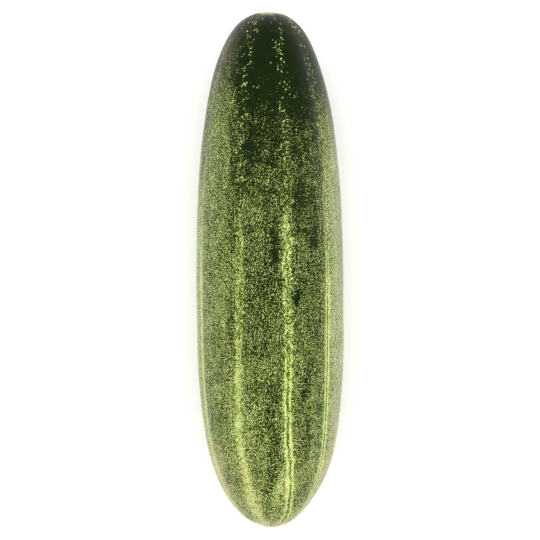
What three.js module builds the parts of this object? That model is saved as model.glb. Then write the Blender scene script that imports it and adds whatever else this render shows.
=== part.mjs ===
// A short, thick slicing cucumber, picked and lying on its side.
//
// Frame: millimetres, +Z up, +Y towards the stem end. The origin is the middle of the fruit's footprint, at the
// height of the surface that it lies on.
//
// The fruit grew as one piece, so it is one solid. It starts as a turned form about its long axis. The skin is then
// shaped by three broad lobes, one over each seed chamber, and by a shallow furrow over each vein. The ends are
// lifted a little, and the belly is pressed flat where it rests.

import * as THREE from "three";
import { mergeVertices } from "three/addons/utils/BufferGeometryUtils.js";

// Overall size, in millimetres.
const LENGTH = 185; // stem end to blossom end
const DIAMETER = 53; // across the thickest part
const THICKEST_AT = 87; // from the blossom end

// How each end closes. A larger swell keeps the fruit thick for longer, and a larger blunt rounds its tip less.
const STEM_END = { swell: 2.4, blunt: 2.65 };
const BLOSSOM_END = { swell: 3.3, blunt: 2.1 };

// The scars where the stalk and the flower were, each a shallow dish.
const STEM_SCAR = { diameter: 6.5, depth: 0.9 };
const BLOSSOM_SCAR = { diameter: 4, depth: 0.5 };

// Three lobes around the fruit, the first of them on top, so that the belly lies between the other two.
const LOBES = { count: 3, height: 0.35 };

// Each vein's place around the fruit, in degrees from the top towards +X, and the furrow over it.
const VEIN_ANGLES = [-155, -118, -79, -30, 15, 55, 103, 155];
const FURROW = { depth: 0.3, halfWidth: 3 };
const FURROW_FADE = 22; // from each end, over which the furrows and lobes die out

// The centreline leans to one side and rises towards both ends.
const LEAN = 1.5; // how far the blossom end stands to +X of the stem end
const STEM_LIFT = 3.2;
const BLOSSOM_LIFT = 2.4;

// How much the belly is pressed in where it meets the surface.
const REST_DEPTH = 0.4;

// Fineness of the solid.
const ROWS_PER_END = 21;
const SIDES = 60;

const { clamp, degToRad, smoothstep, euclideanModulo } = THREE.MathUtils;

// Radius of the turned form at a distance from the thickest part, where reach is the distance to the tip.
function radiusAt(distance, reach, end) {
  const share = clamp(distance / reach, 0, 1);
  return (DIAMETER / 2) * (1 - share ** end.swell) ** (1 / end.blunt);
}

// Half of the turned form's outline, from the thickest part to the tip, with its rows closer towards the tip.
function halfOutline(reach, end, scar) {
  const outline = [];
  for (let row = 0; row < ROWS_PER_END; row++) {
    const turn = (Math.PI / 2) * (row / ROWS_PER_END);
    const distance = reach * Math.sin(turn);
    const radius = radiusAt(distance, reach, end);
    if (radius > 1.2 * (scar.diameter / 2)) outline.push(new THREE.Vector2(radius, distance));
  }
  outline.push(new THREE.Vector2(scar.diameter / 2, reach));
  outline.push(new THREE.Vector2(scar.diameter / 4, reach - scar.depth));
  outline.push(new THREE.Vector2(0, reach - scar.depth));
  return outline;
}

// The outline of the whole turned form, from the blossom end at y = 0 to the stem end at y = LENGTH.
function wholeOutline() {
  const towardsBlossom = halfOutline(THICKEST_AT, BLOSSOM_END, BLOSSOM_SCAR);
  const towardsStem = halfOutline(LENGTH - THICKEST_AT, STEM_END, STEM_SCAR);
  return [
    ...towardsBlossom.reverse().map((point) => new THREE.Vector2(point.x, THICKEST_AT - point.y)),
    ...towardsStem.slice(1).map((point) => new THREE.Vector2(point.x, THICKEST_AT + point.y)),
  ];
}

// 0 at either tip, rising to 1 once the furrows have their full depth.
function reliefAt(along) {
  return smoothstep(along, 0, FURROW_FADE) * smoothstep(LENGTH - along, 0, FURROW_FADE);
}

// How far the skin stands out from the turned form.
function skinHeight(around, along, radius) {
  const lobes = LOBES.height * Math.cos(LOBES.count * around);
  let furrows = 0;
  for (const angle of VEIN_ANGLES) {
    const apart = euclideanModulo(around - degToRad(angle) + Math.PI, 2 * Math.PI) - Math.PI;
    furrows -= FURROW.depth * Math.exp(-(((apart * radius) / FURROW.halfWidth) ** 2));
  }
  return reliefAt(along) * (lobes + furrows);
}

// How far the centreline stands above its lowest point.
function liftAt(along) {
  const pastThickest = along - THICKEST_AT;
  return pastThickest > 0
    ? STEM_LIFT * (pastThickest / (LENGTH - THICKEST_AT)) ** 2
    : BLOSSOM_LIFT * (pastThickest / THICKEST_AT) ** 2;
}

// Shapes each point of the turned form into the fruit.
function shapeSkin(position) {
  for (let i = 0; i < position.count; i++) {
    const along = position.getY(i);
    const radius = Math.hypot(position.getX(i), position.getZ(i));
    const around = Math.atan2(position.getX(i), position.getZ(i));
    const skin = radius > 0 ? radius + skinHeight(around, along, radius) : 0;
    const aside = LEAN * (0.5 - along / LENGTH);
    position.setXYZ(i, skin * Math.sin(around) + aside, along, skin * Math.cos(around) + liftAt(along));
  }
}

// Presses the lowest part of the belly flat.
function pressBelly(geometry) {
  geometry.computeBoundingBox();
  const rest = geometry.boundingBox.min.z + REST_DEPTH;
  const position = geometry.getAttribute("position");
  for (let i = 0; i < position.count; i++) {
    position.setZ(i, Math.max(position.getZ(i), rest));
  }
}

function cucumberGeometry() {
  const turned = new THREE.LatheGeometry(wholeOutline(), SIDES);
  turned.deleteAttribute("normal");
  turned.deleteAttribute("uv");
  const fruit = mergeVertices(turned, 1e-3);
  shapeSkin(fruit.getAttribute("position"));
  pressBelly(fruit);
  fruit.computeBoundingBox();
  const { min, max } = fruit.boundingBox;
  fruit.translate(-(min.x + max.x) / 2, -(min.y + max.y) / 2, -min.z);
  fruit.computeVertexNormals();
  return fruit;
}

const skinMaterial = new THREE.MeshStandardMaterial({ color: 0x5c7a37, roughness: 0.42, metalness: 0 });

const cucumber = new THREE.Mesh(cucumberGeometry(), skinMaterial);
cucumber.name = "cucumber";

const part = new THREE.Group();
part.add(cucumber);

export default part;
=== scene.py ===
# %% [markdown]
# # A slicing cucumber
#
# This file makes one fresh cucumber, lying on its side and seen from straight above, with its stem end
# at the top of the view. It is a short, thick kind. Its skin is dark green and covered in fine pale
# flecks, and pale veins run along it. The solid model that this file loads has the right size and
# place. The cells below make the surface that is seen: first its form, then its skin, then the light
# and the camera.

import bmesh
import bpy
import numpy as np
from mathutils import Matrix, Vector, noise


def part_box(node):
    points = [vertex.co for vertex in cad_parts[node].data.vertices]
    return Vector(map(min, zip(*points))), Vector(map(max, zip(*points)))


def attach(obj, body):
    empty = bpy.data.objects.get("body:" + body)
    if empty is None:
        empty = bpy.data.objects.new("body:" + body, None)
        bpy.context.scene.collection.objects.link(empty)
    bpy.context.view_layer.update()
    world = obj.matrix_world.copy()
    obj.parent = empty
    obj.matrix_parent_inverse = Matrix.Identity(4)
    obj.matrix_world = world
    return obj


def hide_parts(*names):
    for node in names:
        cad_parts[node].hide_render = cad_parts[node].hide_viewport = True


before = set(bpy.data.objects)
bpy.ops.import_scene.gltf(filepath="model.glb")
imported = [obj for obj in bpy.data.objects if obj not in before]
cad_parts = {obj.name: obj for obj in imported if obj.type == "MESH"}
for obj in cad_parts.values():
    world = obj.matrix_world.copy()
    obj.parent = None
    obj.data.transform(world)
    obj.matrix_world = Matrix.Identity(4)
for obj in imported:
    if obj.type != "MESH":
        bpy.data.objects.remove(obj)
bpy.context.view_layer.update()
MM = 0.001
low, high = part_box("cucumber")
print("solid model, mm:", [round(side / MM, 1) for side in high - low])

# %% [markdown]
# ## The outline
#
# A cucumber is nearly a turned form: a thick middle that closes in a round tip at either end. Such an
# outline could be drawn by hand as a row of points. A formula is better here, because it is smooth at
# any fineness, and because the solid model has the same one, so the two surfaces stay close. The stem
# end closes more bluntly than the blossom end, where the flower was.

# %% The outline and its formula, in millimetres
LENGTH = (high.y - low.y) / MM
THICK_RADIUS = 26.5
THICKEST_AT = 87.0  # from the blossom end
BLOSSOM_TIP = {"reach": THICKEST_AT, "swell": 3.3, "blunt": 2.1}
STEM_TIP = {"reach": LENGTH - THICKEST_AT, "swell": 2.4, "blunt": 2.65}


def distance_at(radius, tip):
    """How far from the thickest part the outline has this radius."""
    share = np.clip(radius / THICK_RADIUS, 0, 1)
    return tip["reach"] * (1 - share ** tip["blunt"]) ** (1 / tip["swell"])


def half_outline(tip, end_radius, samples=400):
    """The outline's distances and radii from the thickest part to where it has this radius."""
    distances = np.linspace(0, distance_at(end_radius, tip), samples)
    radii = THICK_RADIUS * (1 - (distances / tip["reach"]) ** tip["swell"]) ** (1 / tip["blunt"])
    return distances, radii


# %% [markdown]
# ## A box wrapped onto the fruit
#
# Spinning the outline would be the obvious way to make this surface. But a spin gathers all its edges
# in one point at either tip, and that is just where the scars of the stalk and of the flower need an
# even mesh. A box has no such point: its long sides wrap round the body, and its two ends become round
# caps. So the mesh starts as a cube, and the operator `subdivide_edges` cuts it into a fine grid.

# %% Cut a box into a grid of faces
SIDE_COLUMNS = 58
ROWS = 292
TINY = 1e-6  # coordinates that differ by less are the same

bm = bmesh.new()
bmesh.ops.create_cube(bm, size=2.0)


def edges_along(axis):
    """The edges of the box that run along an axis: 0 is X, 1 is Y and 2 is Z."""
    return [e for e in bm.edges if abs(e.verts[0].co[axis] - e.verts[1].co[axis]) > TINY]


for axis, cuts in ((1, ROWS - 1), (0, SIDE_COLUMNS - 1), (2, SIDE_COLUMNS - 1)):
    bmesh.ops.subdivide_edges(bm, edges=edges_along(axis), cuts=cuts, use_grid_fill=True)
print("faces in the grid:", len(bm.faces))

# %% [markdown]
# Each point of the box now finds its place on the turned form. On an end, the square grid is rounded
# into a disc, and the distance from the disc's centre gives the radius. On the long sides, the rows are
# spaced evenly along the outline, so the faces stay nearly square from tip to tip.

# %% Wrap the box onto the turned form
CAP_RADIUS = 17.0
CAP_CROWDING = 1.25  # above 1, the grid is finer in the middle of a cap, where the scar is

blossom_distance, blossom_radius = half_outline(BLOSSOM_TIP, CAP_RADIUS)
stem_distance, stem_radius = half_outline(STEM_TIP, CAP_RADIUS)
outline_along = THICKEST_AT + np.concatenate([-blossom_distance[:0:-1], stem_distance])
outline_radius = np.concatenate([blossom_radius[:0:-1], stem_radius])
outline_steps = np.hypot(np.diff(outline_along), np.diff(outline_radius))
outline_run = np.concatenate([[0], np.cumsum(outline_steps)])

box = np.array([v.co for v in bm.verts])
disc_x = box[:, 0] * np.sqrt(1 - box[:, 2] ** 2 / 2)
disc_z = box[:, 2] * np.sqrt(1 - box[:, 0] ** 2 / 2)
around = np.arctan2(disc_x, disc_z)  # 0 on top of the fruit, growing towards +X
run = (box[:, 1] + 1) / 2 * outline_run[-1]
along = np.interp(run, outline_run, outline_along)  # 0 at the blossom end
radius = np.interp(run, outline_run, outline_radius)

cap_radius = CAP_RADIUS * np.hypot(disc_x, disc_z) ** CAP_CROWDING
for side, tip in ((-1, BLOSSOM_TIP), (1, STEM_TIP)):
    on_cap = box[:, 1] * side > 1 - TINY
    radius[on_cap] = cap_radius[on_cap]
    along[on_cap] = THICKEST_AT + side * distance_at(cap_radius[on_cap], tip)
from_stem = LENGTH - along
print("turned form, mm: length", round(np.ptp(along), 2), "radius", round(radius.max(), 2))

# %% [markdown]
# ## The veins
#
# Eight veins run under the skin from the stalk to the flower. They aren't evenly spaced, they wander a
# little, and some of them drift to one side on their way to the flower. Both the form and the colour
# need to know how far a point is from its nearest vein. So each point also gets a levelled angle, in
# which the veins lie exactly an eighth of a turn apart. The furrows below and the skin's material read
# that one angle, and so they always agree.

# %% Find each point's place among the veins
# Each vein's place in degrees from the top towards +X. Then its drift on the way to the blossom end,
# and a further drift that comes on by the tip.
VEINS = [
    (-157, 2, 2),
    (-118, -2, -2),
    (-72, 0, 0),
    (-23, -6, 6),
    (14, -2, 22),
    (52, -1, 22),
    (102, 0, -3),
    (155, 2, 2),
]
SECTOR = 360 / len(VEINS)
FIRST_DRIFT_DONE = 0.7  # of the way from the thickest part to the blossom tip
LAST_DRIFT_CURVE = 4  # the power that keeps the last drift close to the tip
WANDER = 1.6  # degrees to either side
WANDER_LENGTH = 26.0
STATIONS = 186  # places along the fruit where the wander is worked out, about a millimetre apart
NEXT_VEIN_NOISE = 7.3  # how far one vein's place in the noise is from the next one's


def smoothstep(value, start, end):
    """0 up to start, 1 past end, and a smooth change between. A start above the end makes it fall."""
    share = np.clip((value - start) / (end - start), 0, 1)
    return share * share * (3 - 2 * share)


stations = np.linspace(0, LENGTH, STATIONS)
past_thickest = np.clip((THICKEST_AT - along) / THICKEST_AT, 0, 1)
vein_angles = []
for number, (start, first_drift, last_drift) in enumerate(VEINS):
    waves = [noise.noise(Vector((a / WANDER_LENGTH, NEXT_VEIN_NOISE * number, 0))) for a in stations]
    drift = first_drift * smoothstep(past_thickest, 0, FIRST_DRIFT_DONE)
    drift += last_drift * past_thickest**LAST_DRIFT_CURVE
    vein_angles.append(start + drift + WANDER * np.interp(along, stations, waves))
vein_angles = np.array([vein_angles[-1] - 360] + vein_angles + [vein_angles[0] + 360])

angle = np.degrees(around)
levelled = np.zeros(len(along))
nearest_vein = np.zeros(len(along), int)
for sector in range(len(VEINS) + 1):
    start, end = vein_angles[sector], vein_angles[sector + 1]
    share = (angle - start) / (end - start)
    inside = (share >= 0) & (share < 1)
    levelled[inside] = (sector - 1 + share[inside]) * SECTOR
    nearest_vein[inside] = (sector - 1 + np.round(share[inside]).astype(int)) % len(VEINS)
off_vein = np.mod(levelled + SECTOR / 2, SECTOR) - SECTOR / 2
from_vein = np.radians(off_vein) * radius
print("furthest from a vein, mm:", round(np.abs(from_vein).max(), 1))

# %% [markdown]
# ## The form of the skin
#
# The fruit has three seed chambers, and over each of them the skin swells in a broad lobe. Over each
# vein it sinks in a shallow furrow. Nothing that grew is perfectly even, so soft noise adds low
# swellings and fine ripples. All of these fade out towards the tips. Last, a slight dent flattens one
# side of the blossom end, which makes its outline a little uneven.

# %% Raise the lobes, sink the furrows
LOBES, LOBE_HEIGHT = 3, 0.35
FURROW_DEPTH, FURROW_HALF_WIDTH = 0.3, 2.6
SWELLING_HEIGHT, SWELLING_SIZE = 0.3, 26.0
RIPPLE_HEIGHT, RIPPLE_SIZE = 0.05, 4.5
RELIEF_FADE = 22.0
DENT_FROM_BLOSSOM, DENT_DEGREES = 8.0, 82.0
DENT_HALF_LENGTH, DENT_HALF_WIDTH, DENT_DEPTH = 9.0, 14.0, 1.1


def noise_at(points, size, seed=0.0):
    """Smooth noise from about -1 to 1 at each point, with lumps of about this size."""
    offset = Vector((seed, seed, seed))
    return np.array([noise.noise(Vector(p) / size + offset) for p in points])


def hump(distance, half_width):
    """1 at no distance, and a soft fall to nearly 0 at twice the half width."""
    return np.exp(-((distance / half_width) ** 2))


def from_middle(middle, degrees, half_length, half_width):
    """How far each point is from a patch's middle, along and across, in half lengths and half widths."""
    lengthwise = (from_stem - middle) / half_length
    crosswise = np.radians(angle - degrees) * radius / half_width
    return lengthwise, crosswise


turned = np.stack([radius * np.sin(around), along, radius * np.cos(around)], 1)
relief = LOBE_HEIGHT * np.cos(LOBES * around) - FURROW_DEPTH * hump(from_vein, FURROW_HALF_WIDTH)
relief += SWELLING_HEIGHT * noise_at(turned, SWELLING_SIZE)
relief += RIPPLE_HEIGHT * noise_at(turned, RIPPLE_SIZE, seed=40)
relief *= smoothstep(along, 0, RELIEF_FADE) * smoothstep(from_stem, 0, RELIEF_FADE)
dent_middle = LENGTH - DENT_FROM_BLOSSOM
lengthwise, crosswise = from_middle(dent_middle, DENT_DEGREES, DENT_HALF_LENGTH, DENT_HALF_WIDTH)
relief -= DENT_DEPTH * hump(np.hypot(lengthwise, crosswise), 1)
print("skin relief, mm:", round(relief.min(), 2), "to", round(relief.max(), 2))

# %% [markdown]
# ## The scars
#
# The stalk broke away cleanly and left a small, corky dish with a raised rim. The skin around it is
# drawn into short pleats. The flower left a smaller scar at the other end. Both could be cut out with a
# boolean, but they are soft and shallow, so it is simpler to move the points of the caps up and down by
# their distance from the middle.

# %% Sink the two scars
STEM_SCAR = {"radius": 3.25, "depth": 0.9, "rim": 0.2, "cork": 0.2, "pleats": 0.14, "pleats_reach": 11.0}
BLOSSOM_SCAR = {"radius": 2.0, "depth": 0.5, "rim": 0.18, "cork": 0.16, "pleats": 0.12, "pleats_reach": 8.0}
CORK_SIZE = 0.9
EDGE_UNEVEN, EDGE_LUMPS = 0.1, 0.6  # as shares of the scar's radius
DISH_FLOOR, RIM_AT, RIM_HALF_WIDTH, PLEATS_FULL = 0.6, 1.25, 0.3, 1.6  # as shares of the edge's radius
END_LENGTH = 30.0  # mm along the fruit, which takes in all of either scar's pleats


def scar_height(scar, seed):
    """How far the skin stands out towards the tip, from the scar's dish to the end of the pleats."""
    directions = turned / np.maximum(radius, TINY)[:, None]
    edge = scar["radius"] * (1 + EDGE_UNEVEN * noise_at(directions, EDGE_LUMPS, seed))
    dish = 1 - smoothstep(radius, DISH_FLOOR * edge, edge)
    rim = hump(radius - RIM_AT * edge, RIM_HALF_WIDTH * edge)
    pleated = smoothstep(radius, edge, PLEATS_FULL * edge)
    pleated *= 1 - smoothstep(radius, PLEATS_FULL * edge, scar["pleats_reach"])
    pleats = pleated * np.cos(np.radians(levelled) * len(VEINS))
    cork = dish * noise_at(turned, CORK_SIZE, seed)
    return scar["rim"] * rim - scar["depth"] * dish + scar["cork"] * cork - scar["pleats"] * pleats


at_stem = from_stem < END_LENGTH
at_blossom = along < END_LENGTH
standing = along + at_stem * scar_height(STEM_SCAR, seed=11)
standing -= at_blossom * scar_height(BLOSSOM_SCAR, seed=23)
print("stem scar dish, mm:", round((along - standing)[at_stem].max(), 2), "deep")

# %% [markdown]
# ## Onto the table
#
# The fruit leans a little to one side and its ends rise from the table. Where it lies, its own weight
# presses the belly flat over a small patch. The place is in the mesh itself, so the object can stay
# at the origin.

# %% Place the points and press the belly
LEAN = 1.5  # how much further to +X the blossom end is than the stem end
STEM_LIFT, BLOSSOM_LIFT = 3.2, 2.4
REST_DEPTH = 0.4

to_stem = np.clip((along - THICKEST_AT) / (LENGTH - THICKEST_AT), 0, 1)
lift = STEM_LIFT * to_stem**2 + BLOSSOM_LIFT * past_thickest**2
skin = radius + relief
placed = np.stack(
    [
        skin * np.sin(around) + LEAN * (0.5 - along / LENGTH),
        standing,
        skin * np.cos(around) + lift,
    ],
    1,
)
placed[:, 2] = np.maximum(placed[:, 2], placed[:, 2].min() + REST_DEPTH)
middle = (placed.min(0) + placed.max(0)) / 2
placed -= [middle[0], middle[1], placed[:, 2].min()]
placed = placed * MM + [(low.x + high.x) / 2, (low.y + high.y) / 2, low.z]

for vertex, place in zip(bm.verts, placed):
    vertex.co = place
bmesh.ops.recalc_face_normals(bm, faces=bm.faces)
print("skin, mm:", np.round(np.ptp(placed, axis=0) / MM, 1))

# %% [markdown]
# ## Where the skin is flecked
#
# The flecks themselves are far too fine for the mesh, and the material will draw them. But how thickly
# they stand changes slowly over the fruit, so it can be painted onto the points of the mesh, as in
# vertex paint. The paint is a number: near 0 flecks and dark ground take up about as much of the skin
# as each other, at -2 hardly a fleck is left, and at 1 the flecks run together. The stem end is nearly
# black, with a dark tongue that runs on along the top.

# %% Paint how thickly the flecks stand
# How thickly they stand on the dark tongue and beside it, by shares of the length from the stem end.
TOP_FLECKS = {
    0: -4.5,
    0.1: -3.8,
    0.17: -2.5,
    0.22: -1.75,
    0.27: -1.3,
    0.32: -1.0,
    0.4: -0.75,
    0.5: -0.62,
    0.65: -0.42,
    0.8: -0.1,
    1: 0.15,
}
SIDE_FLECKS = {0: -3.0, 0.05: -2.4, 0.1: -1.9, 0.14: -0.9, 0.18: -0.25, 0.22: 0.0, 0.5: 0.15, 1: 0.3}
TONGUE = (-31, 48)  # degrees, the edges of the dark tongue
TONGUE_EDGE = 9.0
RIGHT_DELAY = 11.0  # mm, how much later the flecks start on the right
RIGHT_FULL = 40.0  # degrees, from where they start that much later, while on top they don't
STREAKY = 0.14  # streaks are about seven times as long as they are wide
SPARSE = (0.5, 1.5)  # how far below 0 the flecking starts to be uneven, and is fully uneven


def uneven(strength, size, seed, drawn_out=1.0):
    """Noise with lumps of this size in mm, longer along the fruit where drawn_out is below 1."""
    return strength * noise_at(turned * [1, drawn_out, 1], size, seed)


def by_share(table, distance):
    """A value that changes along the fruit, from a table of it at some shares of the length."""
    return np.interp(distance / LENGTH, list(table), list(table.values()))


outside = np.maximum(TONGUE[0] - angle, angle - TONGUE[1])
outside += uneven(strength=8, size=2.6, seed=5, drawn_out=STREAKY)
beside = smoothstep(outside, -TONGUE_EDGE, TONGUE_EDGE)
on_right = smoothstep(angle, 0, RIGHT_FULL)
flecking = by_share(TOP_FLECKS, from_stem) * (1 - beside)
flecking += by_share(SIDE_FLECKS, from_stem - RIGHT_DELAY * on_right) * beside
flecking += uneven(strength=0.3, size=3.2, seed=9, drawn_out=STREAKY)
flecking += uneven(strength=0.3, size=2.4, seed=13, drawn_out=0.5)
sparse = smoothstep(-flecking, *SPARSE)
flecking += uneven(strength=0.35, size=9.0, seed=12)
flecking += sparse * uneven(strength=0.9, size=2.0, seed=14, drawn_out=0.6)
print("flecking from end to end:", round(flecking.min(), 1), "to", round(flecking.max(), 1))

# %% [markdown]
# The flecking has darker patches, and one paler one near the tip. They are longer than wide and slightly
# aslant. Each is an oval on the skin, and noise pushes its edge in and out.

# %% Paint the patches in the flecking
# Share from the stem end, degrees, half length mm, half width mm, and strength, which is below 0 where
# it is darker.
PATCHES = [
    (0.30, -20, 12, 5, -0.6),
    (0.44, 36, 4.5, 1.5, -1.4),
    (0.55, 21, 3.5, 1.2, -1.8),
    (0.46, 4, 11, 1.5, -1.1),
    (0.37, 24, 7, 2.5, -0.6),
    (0.26, -75, 20, 3.5, -0.9),
    (0.60, -8, 18, 4, -0.4),
    (0.70, 30, 9, 2.0, -1.0),
    (0.76, 0, 12, 2.2, -0.8),
    (0.87, 2, 12, 2.0, -1.0),
    (0.82, 33, 8, 2.0, -0.8),
    (0.92, 8, 6, 3.0, 0.9),
    (0.66, -52, 45, 10, -0.2),
]
PATCH_SLANT = 0.4  # how many half widths a patch leans to the side over its half length
PATCH_OUTSIDE, PATCH_INSIDE = 1.3, 0.5  # half sizes from the middle, where it ends and where it is full

patch_noise = uneven(strength=0.55, size=1.6, seed=15, drawn_out=STREAKY)
patch_noise += uneven(strength=0.5, size=2.6, seed=16)
for share, degrees, half_length, half_width, strength in PATCHES:
    lengthwise, crosswise = from_middle(share * LENGTH, degrees, half_length, half_width)
    out = np.hypot(lengthwise, crosswise + PATCH_SLANT * lengthwise) + patch_noise
    flecking += strength * smoothstep(out, PATCH_OUTSIDE, PATCH_INSIDE)
print("flecking with its patches:", round(flecking.min(), 1), "to", round(flecking.max(), 1))

# %% [markdown]
# The fruit lay on the soil while it grew, so its belly is paler. The flanks are painted paler too, up to
# the veins beside the top, and that part is painted rim light: it stands for the brighter limbs of the
# fruit in the light tent. The dark stem end stays dark all round.

# %% Paint the pale belly, and the painted rim light on the flanks
LEFT_FLANK, RIGHT_FLANK = 2, 5  # the veins that they start from
FLANK_EDGE = 9  # degrees
FLANKS_START, FLANKS_FULL = 20, 62  # mm from the stem end

beyond = np.maximum(LEFT_FLANK * SECTOR - levelled, levelled - RIGHT_FLANK * SECTOR)
beyond += uneven(strength=4, size=2.2, seed=17, drawn_out=STREAKY)
start_noise = uneven(strength=8, size=3.0, seed=19, drawn_out=STREAKY)
# one mask for the pale belly and for the painted rim light on the flanks
pale_belly_and_rim_light = smoothstep(beyond, 0, FLANK_EDGE) * smoothstep(from_stem + start_noise, FLANKS_START, FLANKS_FULL)
print("pale share of the points:", round((pale_belly_and_rim_light > 0.5).mean(), 2))

# %% [markdown]
# The fruit ripens from the blossom end, where the tip turns from green to a dull yellow. Tan patches
# show on the skin as well, most of them at the sides near the tip, and a faint one on the shoulder by
# the stem.

# %% Paint the ripe tip and the tan patches
RIPE_FROM, RIPE_FULL = 6, 1  # mm from the blossom end
# Share from the stem end, degrees, half length mm, half width mm, and strength.
TAN_PATCHES = [
    (0.90, -72, 16, 7, 0.75),
    (0.84, 78, 16, 5, 0.7),
    (0.60, 80, 14, 3, 0.5),
    (0.94, -27, 15, 4, 0.5),
    (0.92, 66, 14, 4, 0.5),
    (0.09, -66, 13, 8, 0.26),
]
TAN_INSIDE = 0.3  # half sizes from the middle, where a tan patch is full

ripe_edge = from_stem + uneven(strength=3, size=5.0, seed=21)
ripe = smoothstep(ripe_edge, LENGTH - RIPE_FROM, LENGTH - RIPE_FULL)
for share, degrees, half_length, half_width, strength in TAN_PATCHES:
    out = np.hypot(*from_middle(share * LENGTH, degrees, half_length, half_width)) + patch_noise
    ripe = np.maximum(ripe, strength * smoothstep(out, PATCH_OUTSIDE, TAN_INSIDE))
print("ripe or tan share of the points:", round((ripe > 0.25).mean(), 2))

# %% [markdown]
# The scars are dry cork. It is pale on their rims and in their middles, and its ragged edge reaches a
# little further on top of the fruit. The dark ring between rim and middle is painted shade, in the
# crease where the dish's wall drops away. The cork is coloured by the same height as the flecks, so its
# rings and that painted shade are painted over the flecking.

# %% Paint the cork of the scars, with painted shade in their creases
CORK_OVER_TOP = 40  # degrees to either side of the top
# For each scar, in its radii: how much further the cork reaches on top, where it starts to thin out,
# and where it ends.
CORK_AT_STEM = (0.8, 1.1, 2.0)
CORK_AT_BLOSSOM = (1.5, 1.0, 2.2)
CORK_RINGS_AND_CREASE_SHADE = [  # radius and half width as shares of the scar's radius, and how pale the ring is
    (1.2, 0.25, 1.1),
    # painted shade: the dark ring on the dish's wall
    (0.82, 0.16, -1.5),
    (0.0, 0.3, 0.9),
]

cork_edge = uneven(strength=0.6, size=0.8, seed=27) + uneven(strength=0.45, size=2.0, seed=29)
over_top = hump(angle, CORK_OVER_TOP)
corky = 0
for at_end, scar, (further, start, end) in (
    (at_stem, STEM_SCAR, CORK_AT_STEM),
    (at_blossom, BLOSSOM_SCAR, CORK_AT_BLOSSOM),
):
    out = radius / scar["radius"] + cork_edge - further * over_top
    corky = corky + at_end * (1 - smoothstep(out, start, end))
across_scar = radius / np.where(at_stem, STEM_SCAR["radius"], BLOSSOM_SCAR["radius"])
cork_tone_and_crease_shade = uneven(strength=0.8, size=0.7, seed=31)
for ring_radius, ring_half_width, paleness in CORK_RINGS_AND_CREASE_SHADE:
    cork_tone_and_crease_shade += paleness * hump(across_scar - ring_radius, ring_half_width)
flecking = flecking * (1 - corky) + cork_tone_and_crease_shade * corky
print("corky points:", int((corky > 0.5).sum()))

# %% [markdown]
# The veins show as pale lines towards the blossom end, and only faintly before that. Each starts at its
# own place and has its own look: some are one broad line, some are two fine lines with a green gap, and
# the gap and the lines may change by the blossom end. Along a ragged vein, the lines swell and fade
# like beads, and their gap varies. Each vein's strength, gap and line width go into one paint of three
# numbers, and its raggedness into another.

# %% Paint where the veins show
# For each vein: where it starts and where it is full, as shares of the length from the stem end. Then
# its strength, half of its gap in mm, its raggedness and half of each line's width in mm. Last, the
# half gap and the half width that it has by the blossom end.
VEIN_LOOKS = [
    (0.22, 0.50, 0.9, 0.7, 0.5, 0.6, 0.7, 0.6),
    (0.20, 0.45, 0.9, 0.8, 0.5, 0.6, 0.8, 0.6),
    (0.38, 0.50, 1.1, 0.3, 0.2, 0.6, 0.3, 0.6),
    (0.35, 0.46, 0.8, 0.9, 1.0, 0.8, 0.3, 1.8),
    (0.27, 0.46, 1.08, 1.1, 1.0, 0.85, 0.95, 1.15),
    (0.40, 0.52, 1.1, 0.7, 0.2, 0.7, 0.75, 0.85),
    (0.20, 0.45, 0.9, 0.7, 0.5, 0.6, 0.7, 0.6),
    (0.22, 0.50, 0.9, 0.8, 0.5, 0.6, 0.8, 0.6),
]
FAINTEST = 0.25  # how much of a vein shows before it starts
HIDDEN_TO, CLEAR_FROM = 15, 50  # mm from the stem end, between which the veins come out of the dark skin
LAST_LOOK_FROM, LAST_LOOK_FULL = 0.6, 0.72  # shares of the length from the stem end
LESS_RAGGED = 0.5  # how much less ragged a vein is by the blossom end
NARROWS_FROM, NARROWS_BY = 0.88, 0.45  # the share where the lines start to narrow, and how much by the tip
BEAD_LENGTH, BEAD_STRENGTH = 5.0, 0.45  # mm, and how much of the strength comes and goes
GAP_LENGTH, GAP_STRENGTH = 8.0, 0.7  # mm, and how much of the gap comes and goes
NEXT_VEIN_BEADS = 20.0  # how far one vein's place in the noise is from the next one's

starts, full, strength, half_gap, ragged, half_width, last_gap, last_width = (
    np.array(column)[nearest_vein] for column in zip(*VEIN_LOOKS)
)
stem_share = from_stem / LENGTH
shows = np.clip((stem_share - starts) / (full - starts), FAINTEST, 1)
shows *= smoothstep(from_stem, HIDDEN_TO, CLEAR_FROM)
towards_blossom = smoothstep(stem_share, LAST_LOOK_FROM, LAST_LOOK_FULL)
ragged = ragged * (1 - LESS_RAGGED * towards_blossom)
half_gap += (last_gap - half_gap) * towards_blossom
half_width += (last_width - half_width) * towards_blossom
half_width *= 1 - NARROWS_BY * smoothstep(stem_share, NARROWS_FROM, 1)
bead_places = np.stack([nearest_vein * NEXT_VEIN_BEADS, along, 0 * along], 1)
beads = 1 + BEAD_STRENGTH * ragged * noise_at(bead_places, BEAD_LENGTH, seed=33)
gaps = 1 + GAP_STRENGTH * ragged * noise_at(bead_places, GAP_LENGTH, seed=35)
veining = np.stack([strength * shows * beads, half_gap * gaps, half_width], 1)
print("veined share of the points:", round((veining[:, 0] > 0.4).mean(), 2))

# %% [markdown]
# ## The finished mesh
#
# The points carry their paint into the mesh. With it goes the grain, which is the place of each point
# by its levelled angle. The material reads all of them as attributes. They follow the surface without a
# seam, which a UV map would have somewhere along the fruit.

# %% Make the skin object
mesh = bpy.data.meshes.new("cucumber_skin")
bm.to_mesh(mesh)
bm.free()
mesh.shade_smooth()

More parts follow.
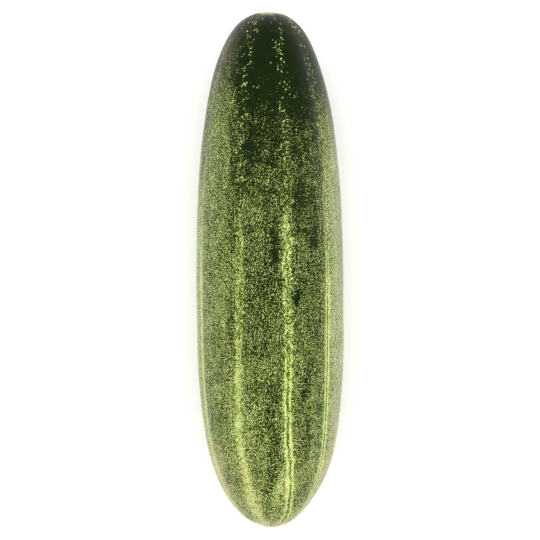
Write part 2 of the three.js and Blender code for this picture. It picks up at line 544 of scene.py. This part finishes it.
level = np.radians(levelled)
grain = np.stack([radius * np.sin(level), along, radius * np.cos(level)], 1)
for name, values in (("grain", grain), ("veining", veining)):
    layer = mesh.attributes.new(name, "FLOAT_VECTOR", "POINT")
    layer.data.foreach_set("vector", values.astype(np.float32).ravel())
PAINTS = {"flecking": flecking, "ragged": ragged, "pale_belly_and_rim_light": pale_belly_and_rim_light, "ripe": ripe, "corky": corky}
for name, values in PAINTS.items():
    layer = mesh.attributes.new(name, "FLOAT", "POINT")
    layer.data.foreach_set("value", values.astype(np.float32))

skin_piece = bpy.data.objects.new("cucumber_skin", mesh)
bpy.context.scene.collection.objects.link(skin_piece)
print("triangles:", sum(len(face.vertices) - 2 for face in mesh.polygons))

# %% [markdown]
# ## The skin's finish
#
# A cucumber's skin is a thin clear wax over green cells, so it shines softly: an IOR of about 1.45 and
# a middling roughness. The material needs two helpers. One turns sRGB hex colours, which people read
# off a colour picker, into the linear values that Blender's sockets take. The other adds a node with
# its settings and links.

# %% Helpers for the materials


def linear(colour, alpha=1.0):
    """An sRGB hex colour such as "#29401a" as the linear values of a colour socket."""
    channels = [int(colour[i : i + 2], 16) / 255 for i in (1, 3, 5)]
    return (*[c / 12.92 if c <= 0.04045 else ((c + 0.055) / 1.055) ** 2.4 for c in channels], alpha)


def add(tree, kind, inputs=(), **settings):
    """Adds a node with its settings. Each input, named or in order, is a value, a node or a socket."""
    node = tree.nodes.new("ShaderNode" + kind)
    for name, value in settings.items():
        setattr(node, name, value)
    in_use = [socket for socket in node.inputs if socket.enabled]
    named = {socket.name: socket for socket in reversed(in_use)}
    for key, value in dict(inputs if isinstance(inputs, dict) else enumerate(inputs)).items():
        socket = named[key] if isinstance(key, str) else in_use[key]
        if isinstance(value, bpy.types.Node):
            value = next(output for output in value.outputs if output.enabled)
        if isinstance(value, bpy.types.NodeSocket):
            tree.links.new(value, socket)
        else:
            socket.default_value = value
    return node


print("deep green, linear:", [round(channel, 4) for channel in linear("#16210a")])

# %% [markdown]
# The vein lines come from the levelled angle. It is counted in eighths of a turn, and what is left
# over, times the width of an eighth, is the distance from the nearest vein. Two noises push that
# distance to and fro. A fine one makes the lines ragged, and a longer one, which only changes along the
# fruit, makes them wiggle.

# %% Start the waxy skin with the distance from the nearest vein
waxy_skin = bpy.data.materials.new("waxy_cucumber_skin")
waxy_skin.use_nodes = True
tree = waxy_skin.node_tree
tree.nodes.clear()

place = add(tree, "TexCoord").outputs["Object"]
paint = {name: add(tree, "Attribute", attribute_name=name).outputs["Fac"] for name in PAINTS}
vein_paint = add(tree, "SeparateXYZ", [add(tree, "Attribute", attribute_name="veining").outputs["Vector"]])
vein_strength, vein_half_gap, line_width = vein_paint.outputs
grain_place = add(tree, "Attribute", attribute_name="grain").outputs["Vector"]
grain = add(tree, "SeparateXYZ", [grain_place])

level_angle = add(tree, "Math", [grain.outputs["X"], grain.outputs["Z"]], operation="ARCTAN2")
eighths = add(tree, "Math", [level_angle, len(VEINS) / (2 * np.pi), 0.5], operation="MULTIPLY_ADD")
eighth_share = add(tree, "Math", [eighths, 1.0], operation="FLOORED_MODULO")
left_over = add(tree, "Math", [eighth_share, 0.5], operation="SUBTRACT")
grain_cross = add(tree, "VectorMath", [grain_place, (1, 0, 1)], operation="MULTIPLY")
grain_radius = add(tree, "VectorMath", [grain_cross], operation="LENGTH").outputs["Value"]
eighth_width = add(tree, "Math", [grain_radius, 2 * np.pi / len(VEINS)], operation="MULTIPLY")
vein_distance = add(tree, "Math", [left_over, eighth_width], operation="MULTIPLY")

RAGGED_SIZE, RAGGED_PUSH = 1.3, 3.6  # mm
WIGGLE_SIZE, WIGGLE_PUSH = 7.0, 2.2
ragged_noise = add(tree, "TexNoise", {"Vector": place, "Scale": 1 / (RAGGED_SIZE * MM), "Detail": 1.0})
wiggle_noise = add(
    tree,
    "TexNoise",
    {"W": grain.outputs["Y"], "Scale": 1 / WIGGLE_SIZE, "Detail": 1.0},
    noise_dimensions="1D",
)
ragged_push = add(tree, "Math", [ragged_noise, RAGGED_PUSH, -RAGGED_PUSH / 2], operation="MULTIPLY_ADD")
wiggle_push = add(tree, "Math", [wiggle_noise, WIGGLE_PUSH, -WIGGLE_PUSH / 2], operation="MULTIPLY_ADD")
both_pushes = add(tree, "Math", [wiggle_push, ragged_push], operation="ADD")
pushed = add(tree, "Math", [both_pushes, paint["ragged"], vein_distance], operation="MULTIPLY_ADD")
beside_vein = add(tree, "Math", [pushed], operation="ABSOLUTE")
print("nodes for the distance from a vein:", len(tree.nodes))

# %% [markdown]
# Towards the blossom end, each vein is a narrow band of fresh green with a pale line at either side of
# its middle. Between the two lines a groove keeps the skin darker. Where their gap is small, they run
# into one line. The lines of a ragged vein are broken up by noise.

# %% The vein's green band and its two pale lines
BAND_FULL, BAND_HALF_WIDTH = 0.7, 3.0  # mm, where the fresh green starts to fade and where it is gone
GROOVE_FULL, GROOVE_EDGE = -0.8, -0.2  # mm inside a line, where the dark groove is full and where it ends
STRAIGHT_GROOVE, RAGGED_GROOVE = 1.4, 0.3  # its depth along a straight vein and along a ragged one
LEAST_RAGGED = 0.2  # the raggedness of the straightest veins
BREAK_SIZE = 1.6  # mm
BREAK_RANGE = (0.38, 0.58)  # the noise where a ragged vein's line is broken, and where it is whole
BROKEN, WHOLE = 0.25, 1.2  # the line's strength there
UNBROKEN = 1.1  # its strength all along a straight vein

band_shape = add(
    tree,
    "MapRange",
    [beside_vein, BAND_FULL, BAND_HALF_WIDTH, 1.0, 0.0],
    interpolation_type="SMOOTHSTEP",
)
beside_line = add(tree, "Math", [beside_vein, vein_half_gap], operation="SUBTRACT")
off_line = add(tree, "Math", [beside_line], operation="ABSOLUTE")
line_shape = add(tree, "MapRange", [off_line, 0.0, line_width, 1.0, 0.0], interpolation_type="SMOOTHSTEP")
groove_shape = add(
    tree,
    "MapRange",
    [beside_line, GROOVE_FULL, GROOVE_EDGE, 1.0, 0.0],
    interpolation_type="SMOOTHSTEP",
)
break_noise = add(tree, "TexNoise", {"Vector": place, "Scale": 1 / (BREAK_SIZE * MM), "Detail": 1.0})
breaks = add(tree, "MapRange", [break_noise, *BREAK_RANGE, BROKEN, WHOLE])
broken = add(tree, "Mix", {"Factor": paint["ragged"], "A": UNBROKEN, "B": breaks}, data_type="FLOAT")
whole_line = add(tree, "Math", [line_shape, vein_strength], operation="MULTIPLY")
line = add(tree, "Math", [whole_line, broken], operation="MULTIPLY")
groove_depth = add(tree, "MapRange", [paint["ragged"], LEAST_RAGGED, 1.0, STRAIGHT_GROOVE, RAGGED_GROOVE])
whole_groove = add(tree, "Math", [groove_shape, vein_strength], operation="MULTIPLY")
groove = add(tree, "Math", [whole_groove, groove_depth], operation="MULTIPLY")
band = add(tree, "Math", [band_shape, vein_strength], operation="MULTIPLY")
print("nodes up to the vein lines:", len(tree.nodes))

# %% [markdown]
# The flecks are small groups of pale cells. A view of the whole fruit can hardly show the real ones, so
# they are drawn as coarse as they need to be to show, about a third of a millimetre across. A fine
# noise gives the skin a height: the higher it stands, the paler the skin. The painted flecking raises
# or lowers it, and where the flecks are sparse it is made steeper, so that they stay crisp. Along the
# vein lines a steady height takes its place, and the grooves lower it.

# %% The close flecks
FLECK_SIZE = 0.35  # mm, as coarse as it needs to be to show
FLECK_SPREAD = 0.09  # the noise's own standard deviation, so that heights are counted in it
FLECK_RANGE = (-1.12, 1.36)  # the heights of the darkest ground and of the palest fleck
STREAK_SIZE, STREAK_STRETCH, STREAK_STRENGTH = 0.6, 6.0, 0.17
STREAK_RANGE = (0.35, 0.65)  # the part of the noise that most of it lies in
CRISP_BELOW, PLAIN_ABOVE = -1.6, -0.3  # the flecking where flecks are crispest, and where they are plain
CRISPEST = 2.2
LINE_COVER, LINE_HEIGHT = 0.7, 1.25  # how much of the flecks a full line hides, and the line's own height

fleck_noise = add(
    tree, "TexNoise", {"Vector": place, "Scale": 1 / (FLECK_SIZE * MM), "Detail": 1.0, "Roughness": 0.5}
)
centred_noise = [fleck_noise, 1 / FLECK_SPREAD, -0.5 / FLECK_SPREAD]
fleck_height = add(tree, "Math", centred_noise, operation="MULTIPLY_ADD")
streak_place = add(tree, "Mapping", {"Vector": place, "Scale": (1, 1 / STREAK_STRETCH, 1)})
streak_look = {"Vector": streak_place, "Scale": 1 / (STREAK_SIZE * MM), "Detail": 0.0}
streak_noise = add(tree, "TexNoise", streak_look)
streak_height = add(
    tree,
    "MapRange",
    [streak_noise, *STREAK_RANGE, -STREAK_STRENGTH, STREAK_STRENGTH],
    clamp=False,
)
streaked_height = add(tree, "Math", [fleck_height, streak_height], operation="ADD")
painted_height = add(tree, "Math", [streaked_height, paint["flecking"]], operation="ADD")
crispness = add(tree, "MapRange", [paint["flecking"], CRISP_BELOW, PLAIN_ABOVE, CRISPEST, 1.0])
crisp_height = add(tree, "Math", [painted_height, crispness], operation="MULTIPLY")
line_cover = add(tree, "Math", [line, LINE_COVER], operation="MULTIPLY")
on_line = add(tree, "Mix", {"Factor": line_cover, "A": crisp_height, "B": LINE_HEIGHT}, data_type="FLOAT")
lined_height = add(tree, "Math", [on_line, groove], operation="SUBTRACT")
close_fleck = add(tree, "MapRange", [lined_height, *FLECK_RANGE, 0.0, 1.0])
print("nodes up to the close flecks:", len(tree.nodes))

# %% [markdown]
# On the dark stem end only stray flecks are left, in loose rows over the veins. A Voronoi texture
# places them: each of its cells has one round fleck, and a random colour that decides whether the fleck
# is there. Fine noise shakes the places, so that the flecks aren't quite round, and a broader noise
# gathers the rows in groups.

# %% The stray flecks
STRAY_SPACING, STRAY_RADIUS = 0.60, 0.32  # mm
STRAY_CORE = 0.55  # the share of the radius that is fully pale
SHAKE_SIZE, SHAKE = 0.35, 0.7  # mm
ROW_CORE, ROW_HALF_WIDTH = 0.4, 3.4  # mm
STRAY_SHARE, ROW_SHARE = 0.008, 0.6  # the shares of cells that have a fleck, everywhere and in a row
GROUP_SIZE = 2.2
GROUP_RANGE = (0.46, 0.6)  # the noise between two groups, and inside a group
CORK_HIDES = 0.5  # the share of cork where no stray fleck is left

shake_noise = add(tree, "TexNoise", {"Vector": place, "Scale": 1 / (SHAKE_SIZE * MM), "Detail": 0.0})
shake = [shake_noise.outputs["Color"], (SHAKE * MM,) * 3, place]
shaken = add(tree, "VectorMath", shake, operation="MULTIPLY_ADD")
strays = add(tree, "TexVoronoi", {"Vector": shaken, "Scale": 1 / (STRAY_SPACING * MM)})
stray_edge = STRAY_RADIUS / STRAY_SPACING  # the texture's distances are counted in cells
stray_shape = add(
    tree,
    "MapRange",
    [strays.outputs["Distance"], STRAY_CORE * stray_edge, stray_edge, 1.0, 0.0],
    interpolation_type="SMOOTHSTEP",
)
stray_draw = add(tree, "SeparateColor", [strays.outputs["Color"]]).outputs["Red"]
group_noise = add(tree, "TexNoise", {"Vector": place, "Scale": 1 / (GROUP_SIZE * MM), "Detail": 1.0})
grouped = add(tree, "MapRange", [group_noise, *GROUP_RANGE, 0.0, 1.0])
row_shape = add(
    tree,
    "MapRange",
    [beside_vein, ROW_CORE, ROW_HALF_WIDTH, ROW_SHARE, 0.0],
    interpolation_type="SMOOTHSTEP",
)
row_share = add(tree, "Math", [row_shape, grouped], operation="MULTIPLY")
stray_share = add(tree, "Math", [row_share, STRAY_SHARE], operation="ADD")
stray_there = add(tree, "Math", [stray_draw, stray_share], operation="LESS_THAN")
stray_bright = add(tree, "Math", [stray_shape, stray_there], operation="MULTIPLY")
off_cork = add(tree, "MapRange", [paint["corky"], 0.0, CORK_HIDES, 1.0, 0.0])
stray_fleck = add(tree, "Math", [stray_bright, off_cork], operation="MULTIPLY")
fleck = add(tree, "Math", [close_fleck, stray_fleck], operation="MAXIMUM")
print("nodes up to all the flecks:", len(tree.nodes))

# %% [markdown]
# Now the colours. Each kind of skin has a ramp of five, from its darkest ground to its palest fleck,
# and the fleck's height picks from it. Along the veins they are yellower and brighter, on the belly
# paler, and on the flanks paler as painted rim light. They are dull yellow to tan where the skin is
# ripe. The scars are tan cork. Each kind is laid over the ones before it, but the vein lines keep more
# of their own colour on the pale flanks.
# Last, a soft mottle tints the skin greener in places, and less so where it is pale.

# %% The skin's colours
STOPS = (0.0, 0.28, 0.52, 0.78, 1.0)  # where the five colours of a ramp are
LINE_OVER_PALE = 0.6  # how much of the pale skin's colour a vein line keeps out
beside_lines = add(tree, "Math", [line, -LINE_OVER_PALE, 1.0], operation="MULTIPLY_ADD")
pale_belly_and_rim_light_share = add(tree, "Math", [paint["pale_belly_and_rim_light"], beside_lines], operation="MULTIPLY")
KINDS_OF_SKIN = {  # how much of it there is, then its five colours
    "green": (None, "#16210a", "#222e08", "#505e15", "#97a45a", "#d0d798"),
    "fresh": (band, "#263c05", "#587410", "#9ca848", "#c8cd86", "#e8e9b6"),
    # the pale belly, and the painted rim light on the flanks
    "pale_belly_and_rim_light": (pale_belly_and_rim_light_share, "#4b5522", "#6f7a40", "#8e965f", "#acb17f", "#cfd1ac"),
    "ripe": (paint["ripe"], "#706236", "#988a50", "#b4a86e", "#cac18c", "#e2dab2"),
    "corky": (paint["corky"], "#4e4226", "#84704a", "#a8906a", "#c2ae86", "#dccfac"),
}
skin_colour = None
for share, *colours in KINDS_OF_SKIN.values():
    ramp = add(tree, "ValToRGB", [fleck])
    stops = ramp.color_ramp.elements
    while len(stops) < len(STOPS):
        stops.new(0.5)
    for stop, position, colour in zip(stops, STOPS, colours):
        stop.position, stop.color = position, linear(colour)
    layers = {"Factor": share, "A": skin_colour, "B": ramp}
    skin_colour = add(tree, "Mix", layers, data_type="RGBA") if skin_colour else ramp

MOTTLE_SIZE = 2.6  # mm
TINTS = ((0.36, "#d4e5be"), (0.64, "#ecebe0"))  # where each tint is on the mottle
TINT_ON_PALE = 0.45
mottle = add(tree, "TexNoise", {"Vector": place, "Scale": 1 / (MOTTLE_SIZE * MM), "Detail": 2.0})
tint_strength = add(tree, "MapRange", [paint["pale_belly_and_rim_light"], 0.0, 1.0, 1.0, TINT_ON_PALE])
tint = add(tree, "ValToRGB", [mottle])
for stop, (position, colour) in zip(tint.color_ramp.elements, TINTS):
    stop.position, stop.color = position, linear(colour)
skin_colour = add(
    tree,
    "Mix",
    {"Factor": tint_strength, "A": skin_colour, "B": tint},
    data_type="RGBA",
    blend_type="MULTIPLY",
)
print("kinds of skin:", ", ".join(KINDS_OF_SKIN))

# %% [markdown]
# The wax lies unevenly, so the gloss varies a little, and the flecked cells stand a few hundredths of a
# millimetre proud. That is too fine for the mesh, so a Bump node draws it. The specular level is below
# its usual 0.5, because the bright walls of a light tent would otherwise lay a grey veil over the dark
# skin.

# %% The wax and the fine relief
WAX_IOR, WAX_SPECULAR = 1.45, 0.2
SHINIEST, DULLEST = 0.34, 0.46  # roughness
GLOSS_RANGE = (0.3, 0.7)  # the mottle where the skin is shiniest, and where it is dullest
CELL_HEIGHT, CELL_STRENGTH = 0.1, 0.3  # mm, and the share of it that shows
roughness = add(tree, "MapRange", [mottle, *GLOSS_RANGE, SHINIEST, DULLEST])
bump = add(tree, "Bump", {"Height": fleck_noise, "Strength": CELL_STRENGTH, "Distance": CELL_HEIGHT * MM})
wax = add(
    tree,
    "BsdfPrincipled",
    {
        "Base Color": skin_colour,
        "Roughness": roughness,
        "IOR": WAX_IOR,
        "Specular IOR Level": WAX_SPECULAR,
        "Normal": bump,
    },
)
add(tree, "OutputMaterial", {"Surface": wax})
mesh.materials.append(waxy_skin)
print("nodes in the waxy skin:", len(tree.nodes))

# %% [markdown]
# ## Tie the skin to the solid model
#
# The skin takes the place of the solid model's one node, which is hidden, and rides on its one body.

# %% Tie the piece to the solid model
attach(skin_piece, "root")
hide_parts("cucumber")
print("tied to the solid model:", skin_piece.name)

# %% [markdown]
# ## Table, light and camera
#
# The fruit lies on a table with a matt white board, in a light tent. A broad softbox overhead gives
# most of the light, and the tent's white walls send some back from the sides. So the fruit has a faint
# shadow under it and no hard highlight on it. The softbox itself isn't seen or mirrored, only its
# light.

# %% The table
TABLE_SIDE = 6.0
bm = bmesh.new()
bmesh.ops.create_grid(bm, x_segments=1, y_segments=1, size=TABLE_SIDE / 2)
table_mesh = bpy.data.meshes.new("table_top")
bm.to_mesh(table_mesh)
bm.free()
table = bpy.data.objects.new("table_top", table_mesh)
bpy.context.scene.collection.objects.link(table)

BOARD_WHITE, BOARD_ROUGHNESS = "#f6f6f4", 0.9
matt_white = bpy.data.materials.new("matt_white_board")
matt_white.use_nodes = True
white_tree = matt_white.node_tree
white_tree.nodes.clear()
board_look = {"Base Color": linear(BOARD_WHITE), "Roughness": BOARD_ROUGHNESS}
board = add(white_tree, "BsdfPrincipled", board_look)
add(white_tree, "OutputMaterial", {"Surface": board})
table_mesh.materials.append(matt_white)
print("table, metres:", TABLE_SIDE)

# %% The light tent
TENT_WALLS, TENT_OPENING = 0.33, 0.03  # how bright the walls are, and how bright the opening above is
OPENING_EDGE = (0.2, 0.55)  # the height of a unit direction where the opening starts and where it is full

world = bpy.data.worlds.new("light_tent")
bpy.context.scene.world = world
world.use_nodes = True
world.node_tree.nodes.clear()
direction = add(world.node_tree, "TexCoord").outputs["Generated"]
upwards = add(world.node_tree, "SeparateXYZ", [direction]).outputs["Z"]
tent_light = add(
    world.node_tree,
    "MapRange",
    [upwards, *OPENING_EDGE, TENT_WALLS, TENT_OPENING],
    interpolation_type="SMOOTHSTEP",
)
tent = add(world.node_tree, "Background", {"Color": linear("#ffffff"), "Strength": tent_light})
add(world.node_tree, "OutputWorld", {"Surface": tent})
bpy.context.scene.view_settings.view_transform = "Standard"

LAMP_SIDE, LAMP_HEIGHT, LAMP_POWER = 5.0, 1.3, 150.0  # metres and watts
lamp_data = bpy.data.lights.new("overhead_softbox", "AREA")
lamp_data.size = LAMP_SIDE
lamp_data.energy = LAMP_POWER
lamp = bpy.data.objects.new("overhead_softbox", lamp_data)
lamp.location = (0, 0, LAMP_HEIGHT)
lamp.visible_glossy = False
lamp.visible_camera = False
bpy.context.scene.collection.objects.link(lamp)
print("softbox, metres:", LAMP_SIDE, "across,", LAMP_HEIGHT, "up")

# %% [markdown]
# The camera looks straight down from a metre above the fruit through a long lens, so the outline is
# hardly changed by perspective.

# %% The camera
CAMERA_HEIGHT = 1.0  # metres above the fruit's middle
FIELD = 0.195  # metres across the view at the fruit's middle
MIDDLE_HEIGHT = 0.027  # metres from the table to the fruit's middle
SENSOR_WIDTH = 36.0  # mm

camera_data = bpy.data.cameras.new("camera")
camera_data.sensor_width = SENSOR_WIDTH
camera_data.lens = SENSOR_WIDTH * CAMERA_HEIGHT / FIELD
camera = bpy.data.objects.new("camera", camera_data)
camera.location = (0, 0, MIDDLE_HEIGHT + CAMERA_HEIGHT)
bpy.context.scene.collection.objects.link(camera)
bpy.context.scene.camera = camera
print("lens, mm:", round(camera_data.lens))
